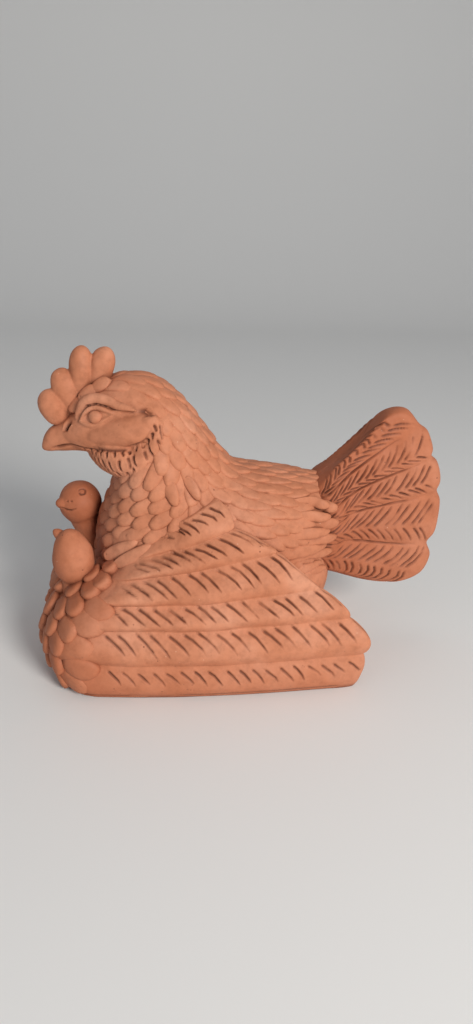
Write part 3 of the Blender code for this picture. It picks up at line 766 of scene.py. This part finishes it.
def petal(path, half, thick, out):
    """Long narrow feather laid along a path, with a pointed free tip."""
    t = np.linspace(0.0, 1.0, 26)
    line = spline(path, t * (len(path) - 1.0))
    root = np.sqrt(1.0 - (np.maximum(0.5 - t, 0.0) / 0.52) ** 2.4)
    tip = np.sqrt(1.0 - part((t - 0.5) / 0.502) ** 1.9)
    wide = half * np.where(t < 0.5, root, tip)
    high = thick * np.clip(t / 0.6, 0.1, 1.0) * np.sqrt(1.0 - part((t - 0.75) / 0.252) ** 3)
    turn = around(24)
    up = np.where(np.sin(turn) > 0, np.abs(np.sin(turn)) ** 0.8, 0.0)
    down = np.where(np.sin(turn) > 0, 0.0, -1.8 * np.abs(np.sin(turn)))
    return ringed(line, out, wide[:, None] * np.cos(turn), high[:, None] * up + down)


# Long petals over the shoulder of the wing and two free ones on the neck: path, half
# width, thickness.
PETALS = (
    (((-50.4, 18, 70), (-41.4, 25.6, 78), (-34, 29.6, 83.4), (-26.1, 31.4, 88)), 3, 1.6),
    (((-52.6, 18.5, 63.6), (-44.4, 26.6, 70.6), (-36.4, 30.8, 76), (-28.5, 32.8, 80.4)), 3, 2),
    (((-52, 26, 61.6), (-47.2, 28.2, 64.8), (-42.2, 30.4, 68.4), (-35.4, 32.8, 73.4)), 2.8, 2),
    (((-47, 33, 60.8), (-41, 35, 64.6), (-35, 35.6, 68.4), (-28.5, 35.4, 73)), 2.6, 1.6),
    (((-21.4, 28.2, 102.2), (-19.6, 30.2, 97), (-17.2, 32, 90.6)), 2.9, 1.6),
    (((-13, 26.8, 103), (-9.8, 28.2, 98.4), (-6.4, 30, 92.6)), 2.4, 1.5),
)


def make_petals():
    heap = Heap()
    for side in SIDES:
        for path, half, thick in PETALS:
            shoulder = len(path) == 4
            out = np.array((-0.25, side * 0.9, 0.35))
            line = np.array([(x, side * y, z) for x, y, z in path]) - out * (1.7 if shoulder else 0.3)
            points, faces = petal(line, half * (1.3 if shoulder else 1.1), thick, out)
            heap.add(points, faces, RNG.uniform(0.0, 0.15))
    heap.build("body_petals")


# Rows of feathers at the end of the rump: station, reach over the tail, first turn.
RUMP_ROWS = ((10.1, 0.05, 0.80), (9.7, -0.02, 0.66))


def rump_path(first, reach, turn, side):
    """Path of a feather from the rump to its tip on the tail."""
    path = [body_point(s, side * turn, lift) for s, lift in ((first, 0.2), (first + 0.7, 0.8))]
    root = np.array(TAIL_ROOT)
    w = np.interp(2.0 - path[1][2], -root[:, 1], np.linspace(0.0, 1.0, len(root)))
    outward_step = np.array((0.0, side * 1.0, 0.0))
    tip = tail_points(np.array(reach), np.array(w), side) + outward_step
    path.append(path[1] * 0.45 + tip * 0.55 + outward_step)
    path.append(tip)
    return path


def make_rump_feathers():
    """Pointed feathers at the end of the rump, their tips lying over the root of the tail."""
    heap = Heap()
    for side in SIDES:
        for first, reach, start in RUMP_ROWS:
            turns = np.arange(start, 2.0, 0.27)
            for turn in turns + RNG.uniform(-0.04, 0.04, len(turns)):
                path = rump_path(first, reach, turn, side)
                points, faces = petal(path, RNG.uniform(2.6, 3.1), 1.4, (0.0, side, 0.25))
                heap.add(points, faces, RNG.uniform(0.05, 0.25))
    heap.build("rump_feathers")


def front_sheet(side):
    """Front of a wing evened out over the edges of its lobes, as a function of level and place."""
    per_unit = 20.0
    levels, places = np.linspace(0.0, 6.0, 121), np.linspace(0.0, 8.5, 171)
    sheet = wing_grid(levels, side, np.zeros(121), places)
    sheet[:, :12, 0] = sheet[:, 12:13, 0]
    sheet[:, 0, 1] = 0.0
    for _ in range(60):
        sheet[1:-1] = (sheet[:-2] + 2.0 * sheet[1:-1] + sheet[2:]) / 4.0
    sheet[..., 0] = np.where(sheet[..., 0] < -18.0, -18.0 + (sheet[..., 0] + 18.0) * 0.975, sheet[..., 0])

    def at(level, place):
        level, place = np.broadcast_arrays(np.asarray(level, float), place)
        i = np.clip(level * per_unit, 0.0, 119.99)
        j = np.clip(np.abs(place) * per_unit, 0.0, 169.99)
        i0, j0 = i.astype(int), j.astype(int)
        f, g = (i - i0)[..., None], (j - j0)[..., None]
        near = sheet[i0, j0] * (1.0 - g) + sheet[i0, j0 + 1] * g
        far = sheet[i0 + 1, j0] * (1.0 - g) + sheet[i0 + 1, j0 + 1] * g
        found = near * (1.0 - f) + far * f
        found[..., 1] *= np.where(place < 0.0, -1.0, 1.0)
        return found

    return at


def make_front_scales():
    heap = Heap()
    for side in SIDES:
        at = front_sheet(side)
        for level, place, length, width, proud in FRONT_SCALES:
            turn = math.radians(RNG.uniform(100.0, 116.0))
            per = 1.0 / np.linalg.norm((at(level, place + 0.1) - at(level, place)) / 0.1)
            middle = place - 0.22 * length * per
            thick = 0.5 + proud * RNG.uniform(0.75, 0.95)
            points, faces = feather(level + 0.05, middle, turn, length * 2.5, width * 1.16, thick,
                                    0.2, 2.2, at, (0.02, 5.6), 4.5)
            points[:, 2] = np.maximum(points[:, 2], 0.3)
            # Painted shade: the front scales face away from the light, so they get a dark tone with a
            # little random spread.
            heap.add(points, faces, RNG.uniform(0.35, 0.55))
    heap.build("wing_front_scales")


# Tail

def tail_base(u, w):
    root = spline(TAIL_ROOT, w * (len(TAIL_ROOT) - 1))
    rim = spline(TAIL_RIM, w * (len(TAIL_RIM) - 1))
    flat = root + (rim - root) * u[..., None]
    lobe = np.abs(np.sin(math.pi * w * TAIL_LOBES)) ** 0.7
    thick = 7.6 - 2.6 * u + 1.7 * lobe * np.sin(math.pi * part(u * 0.9))
    swell = 11.0 * np.exp(-((u + 0.02) / 0.2) ** 2)
    thick = thick + swell * np.sin(math.pi * np.clip(w, 0.02, 0.98)) ** 0.5
    rim_round = np.sqrt(part(1.0 - part((u - 0.91) / 0.09) ** 2.4))
    ends = part(np.minimum(w, 1.0 - w) / 0.05)
    thick = thick * rim_round * np.sqrt(1.0 - (1.0 - ends) ** 2.2)
    return flat, thick


def tail_points(u, w, side):
    flat, thick = tail_base(u, w)
    return np.stack([flat[..., 0], side * thick, flat[..., 1]], -1)


# Barbs of each tail lobe from the top: middle line over the lobe, reach up and down.
TAIL_BARBS = (
    (0.72, 0.62, 0.18), (0.64, 0.58, 0.28), (0.62, 0.56, 0.30), (0.60, 0.54, 0.34), (0.48, 0.42, 0.40),
)


def tail_strokes(side):
    strokes = []
    for k in range(1, TAIL_LOBES):
        w = k / TAIL_LOBES
        u = np.linspace(-0.12, 0.86 - 0.05 * (k % 2), 8)
        line = tail_points(u, w + 0.006 * np.sin(u * 6 + k), side)
        strokes.append((line, 0.48, 1.3))
    for k, (middle, rise, fall) in enumerate(TAIL_BARBS):
        for away, reach in ((-1.0, rise), (1.0, fall)):
            for i in range(12):
                u0 = -0.06 + 0.86 * i / 11 + RNG.uniform(-0.015, 0.015) + (0.03 if away > 0 else 0.0)
                f = np.linspace(0.0, 1.0, 4)
                long = 0.17 if k else 0.22
                w = (k + middle + away * (0.03 + reach * RNG.uniform(0.85, 1.0) * f ** 1.1)) / TAIL_LOBES
                u = u0 + long * f * (0.55 + 0.45 * reach / rise)
                line = tail_points(u, np.clip(w, 0.015, 0.985), side)
                strokes.append((line, RNG.uniform(0.42, 0.52), RNG.uniform(1.0, 1.4)))
    return strokes


def make_tail():
    rim = 0.90 + 0.10 * np.sin(np.linspace(0, math.pi / 2, 14))
    u = np.concatenate([np.linspace(-0.30, 0.90, 140, endpoint=False), rim])
    w = np.concatenate([0.03 * (1 - np.cos(np.linspace(0, math.pi / 2, 10, endpoint=False))),
                        np.linspace(0.03, 0.97, 200, endpoint=False),
                        1.0 - 0.03 * (1 - np.cos(np.linspace(math.pi / 2, 0.0, 10)))])
    uu, ww = np.meshgrid(u, w, indexing="xy")
    halves = []
    deeps = []
    for side in SIDES:
        grid = tail_points(uu, ww, side)
        flat = grid.reshape(-1, 3)
        normal = np.zeros_like(flat)
        normal[:, 1] = side
        ends = part(np.minimum(ww, 1 - ww).ravel() / 0.04)
        fade = part((1.0 - uu.ravel()) / 0.08) * ends
        flat = flat + normal * (lumps(flat, 14.0, 0.35, 11 + int(side)) * fade)[:, None]
        moved, deep = carve(flat, normal, tail_strokes(side))
        halves.append(moved.reshape(grid.shape))
        deeps.append(deep.reshape(uu.shape))
    grid = np.concatenate([halves[0], halves[1][:, -2::-1]], axis=1)
    deep = np.concatenate([deeps[0], deeps[1][:, -2::-1]], axis=1)
    points, faces = closed_grid(grid)
    deep = np.concatenate([deep.ravel(), (0.0, 0.0)])
    # The fan is darker and redder, more toward its root: partly the clay's own colour, partly painted
    # shade.
    tone_and_shade = 0.48 + 0.34 * part((112.0 - points[:, 0]) / 45.0)
    piece("tail_fan", points, faces, groove=deep, tone_and_shade=tone_and_shade)


# Head, comb and chicks

# The collar of the throat behind the cheek, and the lower edge of the cheek: x, y, z.
COLLAR = ((-30, 21.6, 107), (-27.4, 22.6, 115), (-26, 22.8, 121.5), (-25.8, 22, 128.5))
CHEEK_EDGE = (
    (-60, 12, 112.4), (-55, 16, 113.2), (-51, 18.5, 113.6), (-46.3, 20.5, 113.6),
    (-41.3, 22, 114.8), (-35.8, 23, 117.1), (-31.2, 24, 120.8), (-28.5, 24.5, 125.2),
    (-27.1, 24.5, 129.4),
)
# Sections of the beak and head from the front back: x, bottom z, top z, half width.
HEAD_SECTIONS = (
    (-80.6, 107.8, 110.3, 0.8), (-79.4, 107, 114.2, 3), (-76.5, 106.6, 118, 4.8),
    (-71.5, 107, 121.2, 6.8), (-66, 107.3, 126, 9.4), (-59, 107.2, 134, 13.4),
    (-51, 104.5, 140, 17), (-42, 101, 143, 20), (-33, 100.5, 143, 22),
    (-23, 104, 138, 21.5), (-14, 110, 129, 15),
)


def head_loft():
    t = np.linspace(0.0, len(HEAD_SECTIONS) - 1.0, 70)
    x, low, high, half = np.moveaxis(spline(HEAD_SECTIONS, t), -1, 0)
    turn = around(60)
    c, q = np.cos(turn), np.sin(turn)
    c = np.sign(c) * np.abs(c) ** 0.9
    q = np.sign(q) * np.abs(q) ** 0.9
    grid = np.stack([np.repeat(x[:, None], 60, 1), half[:, None] * q,
                     ((low + high) / 2)[:, None] + ((high - low) / 2)[:, None] * c], -1)
    return closed_grid(grid)


def face_shapes(side):
    def at(*path):
        return np.array([(x, side * y, z) for x, y, z in path])

    return [
        egg(at((-42, 16, 121.6))[0], (-1, -side * 0.26, -0.24), 20.5, 9.8, 9.8, 40, 40, 0.45, 1.15),
        egg(at((-55.5, 10.8, 118))[0], (1, side * 0.44, 0.10), 19, 5.2, 7.6, 40, 40, power=1.7),
        egg(at((-33, 18.2, 108.5))[0], (0.35, 0, 1), 11.5, 8.4, 7.5, 40, 40),
        egg(at((-31.5, 21.8, 124.6))[0], (0.75, side * 0.05, 0.8), 8.2, 3.6, 4.6),
        tube(at(*COLLAR), (3.4, 3.6, 3.2, 1.2)),
        tube(at((-61.6, 11.6, 125), (-57.2, 14.2, 124), (-53.4, 15.8, 124.4), (-50.4, 17, 126.6),
                (-46.6, 18.2, 129.2)), (0.4, 1.1, 1.2, 1.1, 0.4)),
        tube(at((-61, 11.8, 125.4), (-58.2, 13, 129.8), (-54, 14.2, 132.3), (-49.8, 15.9, 131.9),
                (-45.6, 18, 130.5)), (0.4, 1.2, 1.4, 1.2, 0.5)),
        tube(at((-62.9, 8.7, 125.4), (-60.2, 10.5, 132), (-56.6, 12, 135.4), (-51.9, 13.6, 136.4),
                (-47.3, 15.6, 135.6), (-43.3, 17.7, 134.2), (-39, 20, 133.7), (-34.6, 22.3, 133)),
             (1, 2.1, 2.5, 2.5, 2.3, 1.9, 1.5, 0.6)),
    ]


def snap(points, path):
    """A path moved onto the nearest points of a skin."""
    return np.array([points[np.argmin(np.sum((points - p) ** 2, -1))] for p in np.asarray(path, float)])


def cheek_slots(points):
    """Staggered rows of short upright slots under the cheeks."""
    strokes = []
    dense = np.linspace(0.0, len(CHEEK_EDGE) - 1.0, 200)
    steps = np.linalg.norm(np.diff(spline(CHEEK_EDGE, dense), axis=0), axis=1)
    walked = np.concatenate([[0.0], np.cumsum(steps)])
    for row, (drop, long, width) in enumerate(((0.8, 2.8, 0.52), (4.6, 4.4, 0.56), (9.6, 4.0, 0.56))):
        for way in np.arange(1.7 * (row % 2), walked[-1], 3.45):
            t = float(np.interp(way, walked, dense))
            x, y, z = spline(CHEEK_EDGE, t)
            dx, _, dz = spline(CHEEK_EDGE, t + 0.05) - spline(CHEEK_EDGE, t - 0.05)
            away = np.array((dz, 0.0, -dx)) / math.hypot(dx, dz)
            if row == 2 and x > -33.0:
                continue
            start = np.array((x, y, z)) + away * (drop + RNG.uniform(-0.3, 0.3))
            reach = long * RNG.uniform(0.9, 1.12) * (1.3 if x > -31.0 else 1.0)
            lean = np.interp(x, (-60.0, -28.0), (0.46, 0.20))
            line = [start + np.array((lean, 0.0, -0.94)) * reach * f for f in (0.0, 0.35, 0.7, 1.0)]
            for side in SIDES:
                path = snap(points, [p * (1, side, 1) for p in line])
                strokes.append((path, width, RNG.uniform(1.3, 1.8)))
    return strokes


def bag_slots(points):
    """Rows of short upright slots round the front of the throat bag."""
    strokes = []
    for rise in (0.0, -0.42, -0.84):
        for turn in np.arange(-2.15, -4.13, -0.2):
            line = [(-39.5 + 21.5 * math.cos(a) * math.cos(turn), 25.2 * math.cos(a) * math.sin(turn),
                     107.0 + 13.6 * math.sin(a)) for a in (rise, rise - 0.12, rise - 0.24, rise - 0.32)]
            if math.cos(turn) < -0.82:
                strokes.append((snap(points, line), 0.52, RNG.uniform(1.1, 1.5)))
    return strokes


# Mouth, nostril, ear, the line under the brow and the edge of the cheek: path, width, depth.
FACE_LINES = (
    (((-74.5, 4, 109.6), (-69.8, 7.5, 111.2), (-65.4, 10, 112.1), (-59.6, 13, 112.4),
      (-54.8, 16, 112.4), (-50, 18.5, 112.2)), 0.60, 1.7),
    (((-66.9, 5.9, 121.9), (-67.6, 6.5, 120.2), (-68.4, 7.1, 118.4)), 0.80, 1.5),
    (((-66.2, 6.3, 122.1), (-66.9, 6.9, 120.4), (-67.7, 7.5, 118.6)), 1.20, 1.8),
    (((-65.5, 6.7, 122.3), (-66.2, 7.3, 120.6), (-67, 7.9, 118.8)), 0.80, 1.5),
    (((-29, 22, 134), (-31, 22, 133.4), (-35, 21, 132.4)), 1.5, 1.1),
    (((-28.6, 22, 134.2), (-29.8, 22, 134), (-31.2, 22, 133.6)), 0.9, 1.6),
    (((-61.9, 10.6, 124.9), (-59.3, 12.4, 129.4), (-57.1, 12.9, 132.8), (-52.9, 14.4, 134.3),
      (-49.1, 16, 133.4), (-45.8, 17.8, 132.2), (-42.2, 19.6, 131.6), (-35.5, 22.2, 131.9)), 0.42, 0.9),
    (CHEEK_EDGE[1:-1], 0.75, 0.8),
)


def face_strokes(points, side):
    found = []
    for path, width, depth in FACE_LINES:
        mirrored = [(x, side * y, z) for x, y, z in path]
        found.append((snap(points, mirrored), width, depth))
    return found


def make_head():
    shapes = [head_loft(), egg((-38.3, 0, 107.8), (1.0, 0, -0.22), 21.5, 25.2, 13.4, 40, 48)]
    for side in SIDES:
        shapes += face_shapes(side)
    points, normals, quads = fuse("head_mix", shapes, 0.5, 6)
    strokes = cheek_slots(points) + bag_slots(points)
    for side in SIDES:
        strokes += face_strokes(points, side)
    points = points + normals * lumps(points, 11.0, 0.18, 21)[:, None]
    moved, deep = carve(points, normals, strokes)
    piece("head_and_throat", moved, quads, groove=deep)
    eyes = Heap()
    for side in SIDES:
        eyes.add(*egg((-53.3, side * 14.4, 127.9), (1.0, side * 0.3, 0.2), 3.6, 3.2, 3.4, 20, 24))
    eyes.build("eyes")


# Comb scales along the foot of the comb: middle, half length.
COMB_SCALES = (((-63, 5.8, 131.2), 5.2), ((-58.2, 6.8, 136.8), 5.4), ((-52.4, 7.4, 140.6), 5.6))


def make_comb():
    shapes = [
        egg((-73.6, 0, 128.2), (0.40, 0, -1), 9.2, 6.8, 7.7, 40, 40, 0.16),
        egg((-67, 0, 134.6), (0.30, 0, -1), 12.6, 6.6, 8, 40, 40, 0.40),
        egg((-60.5, 0, 143.6), (-0.05, 0, -1), 13.8, 6.6, 7, 40, 40, 0.42),
        egg((-51.6, 0, 145.8), (-0.30, 0, -1), 11.6, 6.6, 7.1, 40, 40, 0.42),
        egg((-61, 0, 132), (0.78, 0, 0.62), 13, 3.6, 6, 40, 40),
    ]
    points, normals, quads = fuse("comb_mix", shapes, 0.42, 4)
    points = points + normals * lumps(points, 9.0, 0.12, 31)[:, None]
    piece("comb", points, quads)
    scales = Heap()
    for side in SIDES:
        for (x, y, z), half in COMB_SCALES:
            points, faces = leaf((x, side * y, z), (-0.62, -side * 0.30, -0.62), (-0.35, side * 0.75, 0.55),
                                 half, 3.3, 1.5, 0.3, 1.9, 1.3)
            scales.add(points, faces, 0.05)
    scales.build("comb_scales")


def ring_path(centre, normal, radius):
    a, b, _ = frame_of(np.cross(normal, (0.0, 0.3, 1.0)), normal)
    turn = np.linspace(0.0, 2 * math.pi, 13)[:, None]
    return np.asarray(centre) + radius * (a * np.cos(turn) + b * np.sin(turn))


def make_far_chick():
    shapes = [
        egg((-64.8, 8, 76), (-0.3, 0.1, 1), 11.2, 10.9, 10.9, 40, 48),
        tube(((-63.5, 8, 72), (-60.5, 9, 60), (-56, 9, 44)), (8.5, 7.4, 9)),
        egg((-72.4, 3.4, 77.8), (-1, -0.5, -0.15), 4.2, 3.8, 3, 24, 24),
    ]
    points, normals, quads = fuse("chick_far_mix", shapes, 0.45, 5)
    eye = (-63.0, 1.5, 84.4)
    strokes = [
        (snap(points, ring_path(eye, (0.16, -0.59, 0.79), 1.7)), 0.40, 0.9),
        (snap(points, ((-70.4, -0.5, 80.2), (-70.4, -0.6, 79.8))), 0.5, 1.2),
        (snap(points, ((-68.4, -1.2, 80.5), (-68.4, -1.3, 80.1))), 0.5, 1.2),
        (snap(points, ((-74.4, 0.8, 76.2), (-71.6, -0.8, 75.6), (-68.6, -2.2, 76), (-65.4, -2.6, 77.2))),
         0.42, 1.0),
    ]
    points = points + normals * lumps(points, 9.0, 0.15, 41)[:, None]
    moved, deep = carve(points, normals, strokes)
    # Painted shadow of the head and throat over the far chick: its whole skin gets a dark tone.
    piece("chick_far", moved, quads, groove=deep, tone_and_shade=np.full(len(moved), 0.65))


def make_near_chick():
    shapes = [
        egg((-66.4, -22, 60), (-0.12, 0, 1), 14.6, 10.8, 10.8, 40, 48, 0.18),
        tube(((-66.6, -22, 58), (-67.6, -22, 45), (-68, -22, 30)), (8.8, 4.9, 5.6)),
        egg((-72.6, -18.6, 70.4), (-1, 0.5, 0.7), 4, 2.4, 2.4, 24, 24),
    ]
    points, normals, quads = fuse("chick_near_mix", shapes, 0.45, 5)
    points = points + normals * lumps(points, 10.0, 0.2, 51)[:, None]
    # Painted shade on the near chick: a light tone overall, darker toward its front, which faces away from
    # the light.
    piece("chick_near", points, quads, tone_and_shade=0.25 + 0.4 * part((-66.0 - points[:, 0]) / 10.0))


def make_rump_foot():
    points, faces = egg((24.0, 0, 40.0), (1.0, 0, 0.05), 41.0, 30.0, 36.0, 60, 60)
    points[:, 2] = np.maximum(points[:, 2], 0.5)
    piece("rump_foot", points, faces)


make_body()
make_wing(-1.0, "wing_left")
make_wing(1.0, "wing_right")
make_front_scales()
make_petals()
make_rump_feathers()
make_tail()
make_head()
make_comb()
make_far_chick()
make_near_chick()
make_rump_foot()


# Floor, light and camera

def plain(name, colour):
    found = bpy.data.materials.new(name)
    found.use_nodes = True
    shader = found.node_tree.nodes["Principled BSDF"]
    shader.inputs["Base Color"].default_value = (*colour, 1.0)
    shader.inputs["Roughness"].default_value = 0.7
    return found


def make_floor():
    run = [(-1.0, 0.0), (0.9, 0.0)]
    for i in range(1, 17):
        a = math.pi / 2 * i / 16
        run.append((0.9 + 0.5 * math.sin(a), 0.5 - 0.5 * math.cos(a)))
    run.append((1.4, 1.8))
    points = []
    for y, z in run:
        points += [(-2.2, y, z), (2.2, y, z)]
    faces = [(2 * i, 2 * i + 1, 2 * i + 3, 2 * i + 2) for i in range(len(run) - 1)]
    mesh = bpy.data.meshes.new("floor")
    mesh.from_pydata(points, [], faces)
    mesh.polygons.foreach_set("use_smooth", [True] * len(faces))
    mesh.materials.append(plain("floor_pale", (0.80, 0.79, 0.77)))
    floor = add_object("floor", mesh)


def lamp(name, place, target, size, power, colour):
    data = bpy.data.lights.new(name, "AREA")
    data.shape = "DISK"
    data.size = size
    data.energy = power
    data.color = colour
    item = add_object(name, data)
    item.location = place
    item.rotation_euler = (Vector(target) - Vector(place)).to_track_quat("-Z", "Y").to_euler()


FOCAL_PIXELS = 740.0
PHOTO_HEIGHT = 1024.0


def make_camera():
    """Camera fitted to the photo: 24 degrees down, turned 7 degrees, rolled 2.3 degrees."""
    pitch, turn, roll = math.radians(24.0), math.radians(-7.0), math.radians(2.3)
    level = np.array((-math.sin(turn), math.cos(turn), 0.0))
    right = np.array((math.cos(turn), math.sin(turn), 0.0))
    up = np.array((0.0, 0.0, 1.0))
    look = level * math.cos(pitch) - up * math.sin(pitch)
    down = -(up * math.cos(pitch) + level * math.sin(pitch))
    ex = right * math.cos(roll) - down * math.sin(roll)
    ey = right * math.sin(roll) + down * math.cos(roll)
    data = bpy.data.cameras.new("camera")
    data.sensor_width = 36.0
    data.lens = FOCAL_PIXELS / PHOTO_HEIGHT * 36.0
    data.clip_start = 0.01
    item = add_object("camera", data)
    turned = Matrix([[ex[i], -ey[i], -look[i]] for i in range(3)]).to_4x4()
    item.matrix_world = Matrix.Translation((-0.0277, -0.3452, 0.228)) @ turned
    bpy.context.scene.camera = item


make_floor()
make_camera()
lamp("key", (0.52, -1.03, 0.64), (0.0, 0.0, 0.07), 0.45, 14.0, (1.0, 0.98, 0.95))
lamp("fill", (-0.9, -0.8, 0.6), (0.0, 0.0, 0.07), 0.9, 0.8, (0.97, 0.98, 1.0))
lamp("top", (-0.1, 0.35, 1.3), (0.0, 0.0, 0.06), 0.8, 0.9, (1.0, 0.99, 0.97))
world = bpy.data.worlds.new("world")
world.use_nodes = True
world.node_tree.nodes["Background"].inputs["Color"].default_value = (0.86, 0.90, 0.96, 1.0)
world.node_tree.nodes["Background"].inputs["Strength"].default_value = 0.30
bpy.context.scene.world = world
bpy.context.scene.view_settings.view_transform = "Standard"
